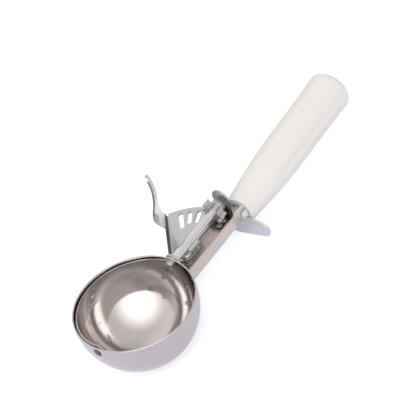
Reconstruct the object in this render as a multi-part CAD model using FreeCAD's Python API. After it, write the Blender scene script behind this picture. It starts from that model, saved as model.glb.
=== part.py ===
"""Lever ice cream scoop: a round bowl with a sweeping scraper strip, worked by a thumb lever.

Frame: the origin is the centre of the bowl's sphere. +Z points out of the bowl's mouth, +X runs
from the bowl along the scraper's shaft towards the handle, and +Y is the thumb lever's side.
All lengths are in millimetres and all angles in degrees.
"""
import FreeCAD, Part
import math
import os

from FreeCAD import Vector

# Bowl
BOWL_R = 33.5
BOWL_WALL = 0.9
RIM_RISE = 3.2
RIVET_R = 1.3
RIVET_LAP = 0.4
RIVET_HEAD_H = 0.6
RIVET_FLUSH = 0.2
RIVET_OUT = 0.5
RIVET_BELOW_TOP = 3.8
RIVET_ABOVE_END = 4.6
RIVET_TURN = -5.0
RIVET_ROOM = 0.3
RIVET_ACCESS = 4.0

# Scraper strip and its shaft
BLADE_GAP = 0.6
BLADE_THICK = 0.7
BLADE_WIDTH = 11.0
BLADE_REST_RISE = 1.5
EYE_RIM = 1.5
SHAFT_R = 2.3
NOSE_STEP = 0.9
EYE_WASHER_LAP = 0.5
EYE_WASHER_T = 0.5
PEEN_LAP = 0.6
PEEN_H = 0.6
RUN_GAP = 0.05
BUSH_WALL = 1.1
BUSH_FLANGE_LAP = 0.95
BUSH_FLANGE_T = 1.0
BUSH_LENGTH = 3.4
TIP_R = 2.4
TIP_RECESS = 0.5
TIP_BAR_W = 1.3
TIP_BAR_TURN = 35.0

# Drive pinion, placed by its distance from the lever's post
PINION_ARM = 29.0
PINION_FACE = 4.6
PINION_PITCH_R = 6.1867
PINION_TIP_R = 6.9
PINION_ROOT_R = 4.7
TEETH = 8
TOOTH_PLAY = 0.8
TOOTH_TIP_W = 0.7
HUB_WALL = 1.2
CROSS_PIN_R = 0.6

# Lever plate, which turns on an upright post below the shaft
POST_FROM_BOWL = 10.5
ROOT_ROOM = 0.3
PLATE_T = 1.2
PLATE_RIM = 2.9
PLATE_END_TURN = 0.5
PLATE_EDGE_OFFSET = 8.8
PLATE_EDGE_TURN = 40.8
PLATE_CORNER_R = 2.5
BOSS_WALL = 1.5
LUG_END = 2.4
LUG_RIM = 1.5
LUG_SLOPE = 2.0
SLOTS = 5
SLOT_FIRST = 2.4
SLOT_WIDTH = 2.6
SLOT_LENGTH = 9.2
LAST_SLOT_LENGTH = 11.8
SLOT_END_ROOM = 1.3
FLANGE_H = 3.4
BEND_R = 0.8

# Thumb tab
TAB_HEIGHT = 36.8
TAB_ROOT_W = 9.5
TAB_LOW_W = 12.4
TAB_HIGH_W = 7.6
TAB_TIP_R = 2.7
TAB_BULGE = 2.8
TAB_LEAN = 0.9
TAB_TWIST = 12.0

# Post, its bush and washer, and the return spring
POST_R = 1.9
POST_STEP = 0.4
POST_HEAD_LAP = 0.1
POST_HEAD_H = 1.3
POST_PEEN_LAP = 1.0
POST_PEEN_H = 0.8
BUSH_PROUD = 0.15
LEVER_BUSH_WALL = 1.05
WASHER_LAP = 0.7
WASHER_T = 0.4
SPRING_WIRE = 0.8
SPRING_ROOM = 0.6
SPRING_TURNS = 5
SPRING_LEG = 6.0
SPRING_ARM = 7.2
SPRING_BEND = 1.0
SPRING_FLOOR_GAP = 0.1
SPRING_TOP_GAP = 0.5
HOOK_PROUD = 0.6
HOOK_GAP = 0.15

# Shank: an open channel with a cupped end that is riveted to the bowl
SHANK_W = 15.4
SHANK_WALL = 1.0
SHANK_DEPTH = 9.2
SHANK_CORNER_R = 2.0
PLATE_ROOM = 0.4
CUP_WING = 3.8
CUP_DROP = 9.2

# Upper bearing and what holds the shaft in it
BEARING_LENGTH = 3.8
BEARING_W = 8.4
BEARING_WALL = 1.3
BEARING_WEB_T = 1.8
BEARING_FOOT_T = 1.2
BEARING_FOOT_L = 9.4
WEB_GAP = 0.6
FOOT_RIVET_ROOM = 1.0
FOOT_RIVET_END = 2.4
CLIP_T = 0.6
CLIP_PROUD = 0.9
CLIP_GROOVE = 0.6
CLIP_MOUTH = 2.8
END_PLAY = 0.15
SHAFT_PROUD = 0.6
THRUST_WASHER_T = 0.3
THRUST_WASHER_LAP = 0.5

# Collar, finger guard and handle
SHAFT_END_ROOM = 4.75
COLLAR_LENGTH = 4.5
COLLAR_WALL = 0.9
COLLAR_H = 6.5
GUARD_T = 1.2
GUARD_ROLL = 30.0
GUARD_MID_R = 8.0
GUARD_MID_DROP = 8.2
GUARD_LEFT_R = 5.6
GUARD_LEFT_REACH = 12.0
GUARD_LEFT_RISE = 3.4
GUARD_RIGHT_R = 5.2
GUARD_RIGHT_REACH = 16.5
GUARD_RIGHT_RISE = 1.5
FERRULE_LENGTH = 0.8
FERRULE_R = 7.0
HANDLE_DROP = 1.1
HANDLE_RISE = 3.0
HANDLE_LENGTH = 102.0
HANDLE_BASE_R = 8.7
HANDLE_SHOULDER_R = 11.5
HANDLE_BODY_R = 12.3
HANDLE_BUTT_R = 12.8
HANDLE_SWELL = 0.2
BUTT_ROUND = 5.0
BUTT_CROWN = 2.0
FLUTES = 5
FLUTE_FIRST = 4.0
FLUTE_R = 11.0
FLUTE_DEPTH = 0.45
TANG_W = 8.4
TANG_T = 2.4
TANG_DEPTH = 68.0

# Bowl and strip, worked out from the sizes above
BOWL_IN = BOWL_R - BOWL_WALL
BLADE_OUT = BOWL_IN - BLADE_GAP
BLADE_IN = BLADE_OUT - BLADE_THICK
BLADE_TURN = math.degrees(math.asin(BLADE_WIDTH / 2 / BLADE_OUT))
BLADE_REST = math.degrees(math.asin(BLADE_REST_RISE / BLADE_OUT)) - BLADE_TURN
SHAFT_NOSE_R = SHAFT_R - NOSE_STEP
BLADE_END_R = SHAFT_NOSE_R + EYE_RIM
PEEN_R = SHAFT_NOSE_R + PEEN_LAP
EYE_WASHER_R = PEEN_R + EYE_WASHER_LAP
BUSH_R = SHAFT_R + RUN_GAP + BUSH_WALL

# Pinion, slots and plate: the slots reach past the pinion's face, and the plate past the slots
POST_X = BOWL_R + POST_FROM_BOWL
PINION_X = POST_X + PINION_ARM
SLOT_PITCH = 360.0 / TEETH * PINION_PITCH_R / PINION_ARM
GEAR_RATIO = 360.0 / TEETH / SLOT_PITCH
TOOTH_ROOT_W = SLOT_WIDTH - TOOTH_PLAY
SLOT_R_OUT = PINION_ARM + PINION_FACE / 2 + SLOT_END_ROOM
PLATE_R = SLOT_R_OUT + PLATE_RIM
PLATE_TOP = -PINION_ROOT_R - ROOT_ROOM
PLATE_BOTTOM = PLATE_TOP - PLATE_T

# Post, bush and spring: the spring fills the height between the floor and the washer
LEVER_BUSH_R = POST_R + RUN_GAP + LEVER_BUSH_WALL
BOSS_R = LEVER_BUSH_R + BOSS_WALL
POST_FOOT_R = POST_R + POST_STEP
BUSH_BOTTOM = PLATE_BOTTOM - BUSH_PROUD
BUSH_TOP = PLATE_TOP + BUSH_PROUD
WASHER_TOP = BUSH_BOTTOM - END_PLAY
SHANK_TOP = PLATE_BOTTOM - PLATE_ROOM
SHANK_BOTTOM = SHANK_TOP - SHANK_DEPTH
SHANK_FLOOR = SHANK_BOTTOM + SHANK_WALL
SPRING_R = POST_FOOT_R + SPRING_ROOM + SPRING_WIRE / 2
SPRING_LOW = SHANK_FLOOR + SPRING_FLOOR_GAP + SPRING_WIRE / 2
SPRING_HIGH = WASHER_TOP - WASHER_T - SPRING_TOP_GAP - SPRING_WIRE / 2
SPRING_PITCH = (SPRING_HIGH - SPRING_LOW) / SPRING_TURNS
LUG_LENGTH = SPRING_ARM + LUG_END
LUG_W = SPRING_R + LUG_RIM

# Rivets of the cup
CUP_BOTTOM = SHANK_BOTTOM - CUP_DROP
RIVET_HEAD_R = RIVET_R + RIVET_LAP
RIVET_SIDE = SHANK_W / 2 + RIVET_OUT
RIVET_LEVELS = (SHANK_TOP - RIVET_BELOW_TOP, CUP_BOTTOM + RIVET_ABOVE_END)

# Bearing and the shaft's end: the bearing stands clear of the plate, the hub fills the space to it
WEB_X = POST_X + PLATE_R + WEB_GAP
BEARING_END = WEB_X + BEARING_WEB_T
BEARING_X = BEARING_END - BEARING_LENGTH
BEARING_HEAD_R = SHAFT_R + BEARING_WALL
CLIP_X = BEARING_END + END_PLAY
CLIP_R = SHAFT_R + CLIP_PROUD
SHAFT_END = CLIP_X + CLIP_T + SHAFT_PROUD
HUB_R = SHAFT_R + HUB_WALL
HUB_END = BEARING_X - THRUST_WASHER_T - 2 * END_PLAY
PIN_X = (PINION_X + PINION_FACE / 2 + HUB_END) / 2

# Tang, guard and handle
TANG_TOP = SHANK_FLOOR + TANG_T
SHANK_END = SHAFT_END + SHAFT_END_ROOM
HANDLE_X = SHANK_END + GUARD_T + FERRULE_LENGTH
HANDLE_AXIS_Z = SHANK_BOTTOM - HANDLE_DROP
EDGE_DIR = Vector(math.cos(math.radians(PLATE_EDGE_TURN)), math.sin(math.radians(PLATE_EDGE_TURN)), 0)
EDGE_OUT = Vector(-EDGE_DIR.y, EDGE_DIR.x, 0)
EDGE_LENGTH = math.sqrt(PLATE_R ** 2 - PLATE_EDGE_OFFSET ** 2)
POST_AT = Vector(POST_X, 0, 0)
X_AXIS = Vector(1, 0, 0)
Z_AXIS = Vector(0, 0, 1)
ORIGIN = Vector(0, 0, 0)


def rod_x(radius, x0, x1, z=0.0):
    """A round bar along X."""
    return Part.makeCylinder(radius, x1 - x0, Vector(x0, 0, z), X_AXIS)


def rod_z(radius, x, z0, z1):
    """An upright round bar that stands on the shank's middle line."""
    return Part.makeCylinder(radius, z1 - z0, Vector(x, 0, z0), Z_AXIS)


def block(x0, x1, y0, y1, z0, z1):
    return Part.makeBox(x1 - x0, y1 - y0, z1 - z0, Vector(x0, y0, z0))


def turned(shape, angle, axis, centre=ORIGIN):
    shape.rotate(centre, axis, angle)
    return shape


def polar(radius, angle, z=0.0, centre=POST_AT):
    """A point at a radius and an angle from +X around an upright line."""
    a = math.radians(angle)
    return centre + Vector(radius * math.cos(a), radius * math.sin(a), z)


def face_of(*edges):
    return Part.Face(Part.Wire(Part.__sortEdges__(list(edges))))


def line(a, b):
    return Part.LineSegment(a, b).toShape()


def arc(a, through, b):
    return Part.Arc(a, through, b).toShape()


def closed_lines(points):
    return Part.Face(Part.makePolygon(points + [points[0]]))


def sphere_shell(outer, inner):
    return Part.makeSphere(outer).cut(Part.makeSphere(inner))


def cap_radius(base_r, height):
    """The radius of the sphere whose cap has this base and height."""
    return (base_r ** 2 + height ** 2) / (2 * height)


def rivet(grip, foot_r, foot_h):
    """A rivet along Z: a domed head above the grip and a plain foot below zero."""
    dome_r = cap_radius(RIVET_HEAD_R, RIVET_HEAD_H)
    dome = Part.makeSphere(dome_r, Vector(0, 0, grip + RIVET_HEAD_H - dome_r))
    dome = dome.common(Part.makeCylinder(RIVET_HEAD_R, RIVET_HEAD_H, Vector(0, 0, grip)))
    stem = Part.makeCylinder(RIVET_R, grip)
    foot = Part.makeCylinder(foot_r, foot_h, Vector(0, 0, -foot_h))
    return dome.fuse([stem, foot]).removeSplitter()


def rivet_directions():
    """The outward directions of the four rivets that hold the bowl on the shank."""
    for level in RIVET_LEVELS:
        for side in (RIVET_SIDE, -RIVET_SIDE):
            out = Vector(math.sqrt(BOWL_R ** 2 - side ** 2 - level ** 2), side, level).normalize()
            yield FreeCAD.Rotation(X_AXIS, RIVET_TURN).multVec(out)


def along(shape, direction, distance):
    """Stands a shape that was made on Z on a ray from the origin."""
    shape.Placement = FreeCAD.Placement(direction * distance, FreeCAD.Rotation(Z_AXIS, direction))
    return shape


def bowl():
    lip = BOWL_WALL / 2
    half = math.sqrt(0.5)
    middle = BOWL_R - lip
    profile = face_of(
        arc(Vector(0, 0, -BOWL_R), Vector(BOWL_R * half, 0, -BOWL_R * half), Vector(BOWL_R, 0, 0)),
        line(Vector(BOWL_R, 0, 0), Vector(BOWL_R, 0, RIM_RISE - lip)),
        arc(Vector(BOWL_R, 0, RIM_RISE - lip), Vector(middle, 0, RIM_RISE),
            Vector(BOWL_IN, 0, RIM_RISE - lip)),
        line(Vector(BOWL_IN, 0, RIM_RISE - lip), Vector(BOWL_IN, 0, 0)),
        arc(Vector(BOWL_IN, 0, 0), Vector(BOWL_IN * half, 0, -BOWL_IN * half), Vector(0, 0, -BOWL_IN)),
        line(Vector(0, 0, -BOWL_IN), Vector(0, 0, -BOWL_R)),
    )
    shell = profile.revolve(ORIGIN, Z_AXIS, 360)
    shell = shell.cut([rod_x(BUSH_R, 0, 2 * BOWL_R), rod_x(TIP_R + RUN_GAP, -2 * BOWL_R, 0)])
    for direction in rivet_directions():
        shell = shell.cut(Part.makeCylinder(RIVET_R, BOWL_R, direction * BOWL_IN / 2, direction))
    return shell


def bowl_rivets():
    """Four rivets, almost flush inside the bowl so that the strip passes over them."""
    grip = BOWL_WALL + SHANK_WALL
    inside = Part.makeSphere(BOWL_IN - RIVET_FLUSH)
    made = []
    for direction in rivet_directions():
        one = along(rivet(grip, RIVET_R, BOWL_WALL), direction, BOWL_IN)
        made.append(one.cut(inside))
    return Part.makeCompound(made)


def scraper_blade():
    """A narrow strip of the bowl's own curve, with a round eye at each end."""
    shell = sphere_shell(BLADE_OUT, BLADE_IN)
    reach = BLADE_OUT + 1
    half = BLADE_WIDTH / 2
    end = BLADE_END_R
    outline = face_of(
        arc(Vector(-reach, end, 0), Vector(0, half, 0), Vector(reach, end, 0)),
        line(Vector(reach, end, 0), Vector(reach, -end, 0)),
        arc(Vector(reach, -end, 0), Vector(0, -half, 0), Vector(-reach, -end, 0)),
        line(Vector(-reach, -end, 0), Vector(-reach, end, 0)),
    )
    strip = shell.common(outline.extrude(Vector(0, 0, -reach)))
    eyes = shell.common(rod_x(end, -reach, -BLADE_IN * 0.9).fuse(rod_x(end, BLADE_IN * 0.9, reach)))
    blade = strip.fuse(eyes).removeSplitter()
    blade = blade.cut(rod_x(SHAFT_NOSE_R, 0, reach))
    blade = blade.cut(rod_x(SHAFT_NOSE_R, -reach, 0))
    return turned(blade, 90 + BLADE_REST, X_AXIS)


def scraper_shaft():
    """The long shaft: its thin nose goes through the strip's eye and is peened over a washer."""
    seat = eye_face()
    peen_x = seat - EYE_WASHER_T
    peen = rod_x(PEEN_R, peen_x - PEEN_H, peen_x)
    nose = rod_x(SHAFT_NOSE_R, peen_x, BLADE_OUT)
    bar = rod_x(SHAFT_R, BLADE_OUT, SHAFT_END)
    groove = rod_x(SHAFT_R + 1, CLIP_X, CLIP_X + CLIP_T).cut(rod_x(SHAFT_R - CLIP_GROOVE, 0, SHAFT_END))
    return peen.fuse([nose, bar]).cut([groove, cross_pin_bar(SHAFT_R + 1)]).removeSplitter()


def eye_face():
    """Where a washer's edge meets the hollow inner face of the strip's eye."""
    return math.sqrt(BLADE_IN ** 2 - EYE_WASHER_R ** 2)


def eye_washer(side):
    seat = eye_face()
    ring = rod_x(EYE_WASHER_R, seat - EYE_WASHER_T, seat).cut(rod_x(SHAFT_NOSE_R, 0, BOWL_R))
    return ring if side > 0 else turned(ring, 180, Z_AXIS)


def cross_pin_bar(reach):
    return Part.makeCylinder(CROSS_PIN_R, 2 * reach, Vector(PIN_X, 0, -reach), Z_AXIS)


def blade_tip_pin():
    """The strip's far pivot: a disc in the bowl's wall with a raised bar across its outer face."""
    face = BOWL_R - TIP_RECESS
    peen_x = eye_face() - EYE_WASHER_T
    disc = rod_x(TIP_R, BLADE_OUT, face)
    nose = rod_x(SHAFT_NOSE_R, peen_x, BLADE_OUT)
    peen = rod_x(PEEN_R, peen_x - PEEN_H, peen_x)
    bar = block(face, BOWL_R, -TIP_BAR_W / 2, TIP_BAR_W / 2, -TIP_R, TIP_R).common(rod_x(TIP_R, 0, BOWL_R))
    pin = disc.fuse([nose, peen, turned(bar, TIP_BAR_TURN, X_AXIS)]).removeSplitter()
    return turned(pin, 180, Z_AXIS)


def front_bush():
    """The flanged bush in the bowl's wall that carries the shaft."""
    start = math.sqrt(BOWL_IN ** 2 - BUSH_R ** 2)
    flange_x = BOWL_R + SHANK_WALL / 2
    body = rod_x(BUSH_R, start, start + BUSH_LENGTH)
    flange = rod_x(BUSH_R + BUSH_FLANGE_LAP, flange_x, flange_x + BUSH_FLANGE_T)
    return body.fuse(flange).cut(rod_x(SHAFT_R + RUN_GAP, 0, SHAFT_END)).removeSplitter()


def drive_pinion():
    """Eight straight teeth round a hub; one tooth stands in the first slot at rest."""
    x0 = PINION_X - PINION_FACE / 2
    x1 = PINION_X + PINION_FACE / 2
    root = PINION_ROOT_R * 0.9
    tooth = closed_lines([
        Vector(x0, -TOOTH_ROOT_W / 2, -root),
        Vector(x0, TOOTH_ROOT_W / 2, -root),
        Vector(x0, TOOTH_TIP_W / 2, -PINION_TIP_R),
        Vector(x0, -TOOTH_TIP_W / 2, -PINION_TIP_R),
    ]).extrude(Vector(PINION_FACE, 0, 0))
    teeth = []
    for k in range(TEETH):
        teeth.append(turned(tooth.copy(), k * 360.0 / TEETH + GEAR_RATIO * SLOT_FIRST, X_AXIS))
    wheel = rod_x(PINION_ROOT_R, x0, x1).fuse(teeth + [rod_x(HUB_R, x1, HUB_END)])
    return wheel.cut([rod_x(SHAFT_R, 0, SHAFT_END), cross_pin_bar(HUB_R + 1)]).removeSplitter()


def pinion_pin():
    return cross_pin_bar(HUB_R)


def thrust_washer():
    ring = rod_x(HUB_R + THRUST_WASHER_LAP, HUB_END + END_PLAY, BEARING_X - END_PLAY)
    return ring.cut(rod_x(SHAFT_R, 0, SHAFT_END))


def shaft_clip():
    """A snap ring in the shaft's groove, open on its lower side."""
    ring = rod_x(CLIP_R, CLIP_X, CLIP_X + CLIP_T).cut(rod_x(SHAFT_R - CLIP_GROOVE, 0, SHAFT_END))
    return ring.cut(block(0, SHAFT_END, -CLIP_MOUTH / 2, CLIP_MOUTH / 2, -CLIP_R - 1, 0))


def edge_point(along_edge, outward, z):
    """A point by its distance along the plate's left edge, outward from it, and its height."""
    start = POST_AT + EDGE_OUT * PLATE_EDGE_OFFSET
    return start + EDGE_DIR * along_edge + EDGE_OUT * outward + Vector(0, 0, z)


def lever_plate():
    """The flat sector with its slots and the spring's lug, cut short where its edge bends up."""
    inset = BEND_R + PLATE_T
    z = PLATE_BOTTOM
    reach = math.sqrt(PLATE_R ** 2 - (PLATE_EDGE_OFFSET - inset) ** 2)
    end_turn = math.degrees(math.atan2(PLATE_EDGE_OFFSET - inset, reach)) + PLATE_EDGE_TURN
    corner = polar(PLATE_R, end_turn, z)
    right = polar(PLATE_R, PLATE_END_TURN, z)
    lug_inner = polar(LUG_LENGTH + LUG_SLOPE, PLATE_END_TURN, z)
    lug_outer = POST_AT + Vector(LUG_LENGTH, -LUG_W, z)
    near_right = polar(BOSS_R, -90, z)
    near_left = edge_point(0, -inset, z)
    outline = face_of(
        arc(right, polar(PLATE_R, (PLATE_END_TURN + end_turn) / 2, z), corner),
        line(corner, near_left),
        line(near_left, near_right),
        line(near_right, lug_outer),
        line(lug_outer, lug_inner),
        line(lug_inner, right),
    )
    plate = outline.extrude(Vector(0, 0, PLATE_T)).fuse(rod_z(BOSS_R, POST_X, z, PLATE_TOP))
    return plate.cut([lever_slot(k) for k in range(SLOTS)])


def lever_slot(k):
    """One slot with round ends, on a radius from the post: the first open, the last longer."""
    half = SLOT_WIDTH / 2
    outer = SLOT_R_OUT - half
    inner = SLOT_R_OUT - (LAST_SLOT_LENGTH if k == SLOTS - 1 else SLOT_LENGTH) + half
    z0 = PLATE_BOTTOM - 1
    z1 = PLATE_TOP + 1
    cutter = block(POST_X + inner, POST_X + outer, -half, half, z0, z1)
    cutter = cutter.fuse([rod_z(half, POST_X + inner, z0, z1), rod_z(half, POST_X + outer, z0, z1)])
    return turned(cutter, SLOT_FIRST + k * SLOT_PITCH, Z_AXIS, POST_AT)


def lever_flange():
    """The plate's left edge, bent up through a quarter turn."""
    inner = BEND_R
    outer = BEND_R + PLATE_T
    lap = -outer
    half = math.sqrt(0.5)
    top = PLATE_BOTTOM + FLANGE_H

    def at(outward, z):
        return edge_point(0, outward, z)

    profile = face_of(
        line(at(lap, PLATE_BOTTOM), at(lap, PLATE_TOP)),
        arc(at(lap, PLATE_TOP), at(lap + inner * half, PLATE_TOP + inner * (1 - half)),
            at(-PLATE_T, PLATE_TOP + inner)),
        line(at(-PLATE_T, PLATE_TOP + inner), at(-PLATE_T, top)),
        line(at(-PLATE_T, top), at(0, top)),
        line(at(0, top), at(0, PLATE_BOTTOM + outer)),
        arc(at(0, PLATE_BOTTOM + outer), at(lap + outer * half, PLATE_BOTTOM + outer * (1 - half)),
            at(lap, PLATE_BOTTOM)),
    )
    return profile.extrude(EDGE_DIR * (EDGE_LENGTH - PLATE_CORNER_R / 2))


def thumb_tab():
    """A leaf with a double curve that rises from the flange and twists to face the thumb."""
    low = PLATE_BOTTOM + FLANGE_H
    root = low - BEND_R
    top = PLATE_TOP + TAB_HEIGHT
    rise = top - low
    stations = [(root, 0, 0), (low + rise * 0.07, TAB_BULGE * 0.55, 0.4), (low + rise * 0.22, TAB_BULGE, 1),
                (low + rise * 0.42, TAB_BULGE * 0.6, 1), (low + rise * 0.68, TAB_LEAN * 0.1, 0.5),
                (low + rise * 0.86, TAB_LEAN * 0.2, 0.2), (top, TAB_LEAN, 0)]
    sections = []
    for z, out, twist in stations:
        centre = edge_point(tab_middle(), out - PLATE_T / 2, z)
        across = turned(line(ORIGIN, EDGE_DIR), -TAB_TWIST * twist, Z_AXIS).Vertexes[1].Point * TAB_LOW_W
        thick = Vector(-across.y, across.x, 0).normalize() * (PLATE_T / 2)
        ring = [centre - across - thick, centre + across - thick, centre + across + thick,
                centre - across + thick]
        sections.append(Part.makePolygon(ring + [ring[0]]))
    return Part.makeLoft(sections, True).common(tab_outline(root, top))


def tab_middle():
    """How far along the flange the thumb tab's middle stands."""
    return EDGE_LENGTH - PLATE_CORNER_R - TAB_ROOT_W / 2


def tab_outline(root, top):
    """The leaf's outline seen square to the flange, as a prism through the bent sheet."""
    centre = tab_middle()
    near = centre - TAB_ROOT_W / 2
    far = centre + TAB_ROOT_W / 2
    low_z = root + (top - root) * 0.24
    high_z = root + (top - root) * 0.66
    tip_z = top - TAB_TIP_R
    reach = 4 * TAB_LOW_W

    def at(along_edge, z):
        return edge_point(along_edge, -reach / 2, z)

    def side(sign, root_at):
        curve = Part.BSplineCurve()
        curve.interpolate(Points=[at(root_at, root), at(centre + sign * TAB_LOW_W / 2, low_z),
                                  at(centre + sign * TAB_HIGH_W / 2, high_z),
                                  at(centre + sign * TAB_TIP_R, tip_z)])
        return curve.toShape()

    tip = arc(at(centre - TAB_TIP_R, tip_z), at(centre, top), at(centre + TAB_TIP_R, tip_z))
    foot = line(at(near, root), at(far, root))
    return face_of(side(-1, near), tip, side(1, far), foot).extrude(EDGE_OUT * reach)


def thumb_lever():
    """One pressed sheet: the slotted sector, its bent edge and the thumb tab."""
    lever = lever_plate().fuse([lever_flange(), thumb_tab()]).removeSplitter()
    hook = rod_z(SPRING_WIRE / 2 + HOOK_GAP, POST_X + SPRING_ARM, PLATE_BOTTOM - 1, PLATE_TOP + 1)
    hook.translate(Vector(0, -SPRING_R, 0))
    return lever.cut([hook, rod_z(LEVER_BUSH_R, POST_X, PLATE_BOTTOM - 1, PLATE_TOP + 1)])


def lever_bush():
    ring = rod_z(LEVER_BUSH_R, POST_X, BUSH_BOTTOM, BUSH_TOP)
    return ring.cut(rod_z(POST_R + RUN_GAP, POST_X, BUSH_BOTTOM, BUSH_TOP))


def pivot_post():
    """The stepped post, peened under the shank's floor, with a low round head."""
    step = WASHER_TOP - WASHER_T
    head_z = BUSH_TOP + END_PLAY
    foot = rod_z(POST_FOOT_R, POST_X, SHANK_FLOOR, step)
    stem = rod_z(POST_R, POST_X, SHANK_BOTTOM, head_z)
    head = rod_z(LEVER_BUSH_R + POST_HEAD_LAP, POST_X, head_z, head_z + POST_HEAD_H)
    head = head.makeFillet(POST_HEAD_H * 0.6, [head.Edges[0]])
    peen = rod_z(POST_R + POST_PEEN_LAP, POST_X, SHANK_BOTTOM - POST_PEEN_H, SHANK_BOTTOM)
    return foot.fuse([stem, head, peen]).removeSplitter()


def pivot_washer():
    ring = rod_z(LEVER_BUSH_R + WASHER_LAP, POST_X, WASHER_TOP - WASHER_T, WASHER_TOP)
    return ring.cut(rod_z(POST_R, POST_X, WASHER_TOP - WASHER_T, WASHER_TOP))


def bent_arc(a, tangent, b):
    """The round arc from a to b that leaves a along the tangent."""
    chord = b - a
    length = chord.Length
    toward = chord * (1 / length)
    rise = tangent - toward * tangent.dot(toward)
    if rise.Length < 1e-9:
        return line(a, b)
    lean = math.acos(max(-1.0, min(1.0, tangent.dot(toward))))
    middle = (a + b) * 0.5 + rise.normalize() * (length / 2 * math.tan(lean / 2))
    return arc(a, middle, b)


def two_arcs(a, ta, b, tb):
    """Two arcs that join a to b and keep both end directions."""
    v = b - a
    spread = 2 * (1 - ta.dot(tb))
    pull = v.dot(ta + tb)
    d = (-pull + math.sqrt(pull ** 2 + spread * v.dot(v))) / spread
    joint = (a + b + (ta - tb) * d) * 0.5
    second = bent_arc(b, tb * -1, joint)
    return [bent_arc(a, ta, joint), second]


def spring_path():
    """The straight leg on the floor, the turns round the post, and the arm with its hook."""
    steps = SPRING_TURNS * 4
    slope = SPRING_PITCH / (2 * math.pi)
    points = []
    tangents = []
    for k in range(steps + 1):
        turn = -90.0 + 90.0 * k
        a = math.radians(turn)
        points.append(polar(SPRING_R, turn, SPRING_LOW + SPRING_PITCH * k / 4))
        tangents.append(Vector(-math.sin(a) * SPRING_R, math.cos(a) * SPRING_R, slope).normalize())
    tangents[0] = X_AXIS
    tangents[-1] = X_AXIS
    edges = [line(points[0] - X_AXIS * SPRING_LEG, points[0])]
    for k in range(steps):
        edges += two_arcs(points[k], tangents[k], points[k + 1], tangents[k + 1])
    bend = points[-1] + X_AXIS * (SPRING_ARM - SPRING_BEND)
    half = math.sqrt(0.5)
    through = bend + Vector(SPRING_BEND * half, 0, SPRING_BEND * (1 - half))
    up = bend + Vector(SPRING_BEND, 0, SPRING_BEND)
    end = Vector(up.x, up.y, PLATE_TOP + HOOK_PROUD)
    return edges + [line(points[-1], bend), arc(bend, through, up), line(up, end)]


def return_spring():
    edges = spring_path()
    path = Part.Wire(edges)
    start = edges[0].Vertexes[0].Point
    ring = Part.Wire(Part.makeCircle(SPRING_WIRE / 2, start, X_AXIS))
    print("least gap of the spring to itself, mm:", round(spring_gap(edges), 2))
    return path.makePipeShell([ring], True)


def spring_gap(edges):
    """The least space between two stretches of the wire that lie a half turn or more apart."""
    samples = []
    travelled = 0.0
    for edge in edges:
        count = max(2, int(edge.Length / 0.3))
        for point in edge.discretize(count)[:-1]:
            if samples:
                travelled += (point - samples[-1][1]).Length
            samples.append((travelled, point))
    apart = math.pi * SPRING_R
    least = min((q - p).Length for s, p in samples for t, q in samples if t - s > apart)
    return least - SPRING_WIRE


def shank_section(inset, top):
    """The channel's outline, rounded along its two lower edges."""
    side = SHANK_W / 2 - inset
    bottom = SHANK_BOTTOM + inset
    body = block(0, SHANK_END, -side, side, bottom, top)
    low = [e for e in body.Edges if is_low_edge(e, bottom)]
    return body.makeFillet(SHANK_CORNER_R - inset, low)


def is_low_edge(edge, bottom):
    ends = [v.Point for v in edge.Vertexes]
    return all(abs(p.z - bottom) < 1e-6 for p in ends) and abs(ends[0].x - ends[1].x) > 1


def shank_channel():
    """A pressed channel, open on top, with a cup at one end that fits the bowl."""
    channel = shank_section(0, SHANK_TOP).cut(shank_section(SHANK_WALL, SHANK_TOP + SHANK_WALL))
    channel = channel.cut(Part.makeSphere(BOWL_R))
    cup = sphere_shell(BOWL_R + SHANK_WALL, BOWL_R)
    side = SHANK_W / 2 + CUP_WING
    window = block(0, 2 * BOWL_R, -side, side, CUP_BOTTOM, SHANK_TOP)
    corners = [e for e in window.Edges if abs(e.Vertexes[0].Point.x - e.Vertexes[-1].Point.x) > 1]
    cup = cup.common(window.makeFillet(SHANK_CORNER_R * 2, corners))
    shank = channel.fuse(cup).removeSplitter()
    holes = [rod_z(POST_R, POST_X, SHANK_BOTTOM - 1, SHANK_FLOOR + 1)]
    holes += [rod_z(RIVET_R, x, SHANK_BOTTOM - 1, SHANK_FLOOR + 1) for x in foot_rivet_places()]
    for direction in rivet_directions():
        seat = direction * (BOWL_R + SHANK_WALL)
        holes.append(Part.makeCylinder(RIVET_R, RIVET_ACCESS, direction * BOWL_IN, direction))
        holes.append(Part.makeCylinder(RIVET_HEAD_R + RIVET_ROOM, RIVET_ACCESS, seat, direction))
    return shank.cut(holes)


def foot_rivet_places():
    """One rivet beside the bearing's web, one near the end of its foot."""
    return [WEB_X - RIVET_HEAD_R - FOOT_RIVET_ROOM, WEB_X - BEARING_FOOT_L + FOOT_RIVET_END]


def upper_bearing():
    """A bracket that clears the lever's plate: a barrel for the shaft, a web and a foot on the tang."""
    foot_top = TANG_TOP + BEARING_FOOT_T
    side = BEARING_W / 2
    bottom = Vector(WEB_X, -side, TANG_TOP)
    web = closed_lines([bottom, Vector(WEB_X, side, TANG_TOP), Vector(WEB_X, BEARING_HEAD_R, 0),
                        Vector(WEB_X, -BEARING_HEAD_R, 0)]).extrude(Vector(BEARING_WEB_T, 0, 0))
    head = rod_x(BEARING_HEAD_R, BEARING_X, BEARING_END)
    foot = block(WEB_X - BEARING_FOOT_L, WEB_X, -side, side, TANG_TOP, foot_top)
    holes = [rod_z(RIVET_R, x, TANG_TOP - 1, foot_top + 1) for x in foot_rivet_places()]
    return web.fuse([head, foot]).cut(holes + [rod_x(SHAFT_R + RUN_GAP, 0, SHAFT_END)]).removeSplitter()


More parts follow.
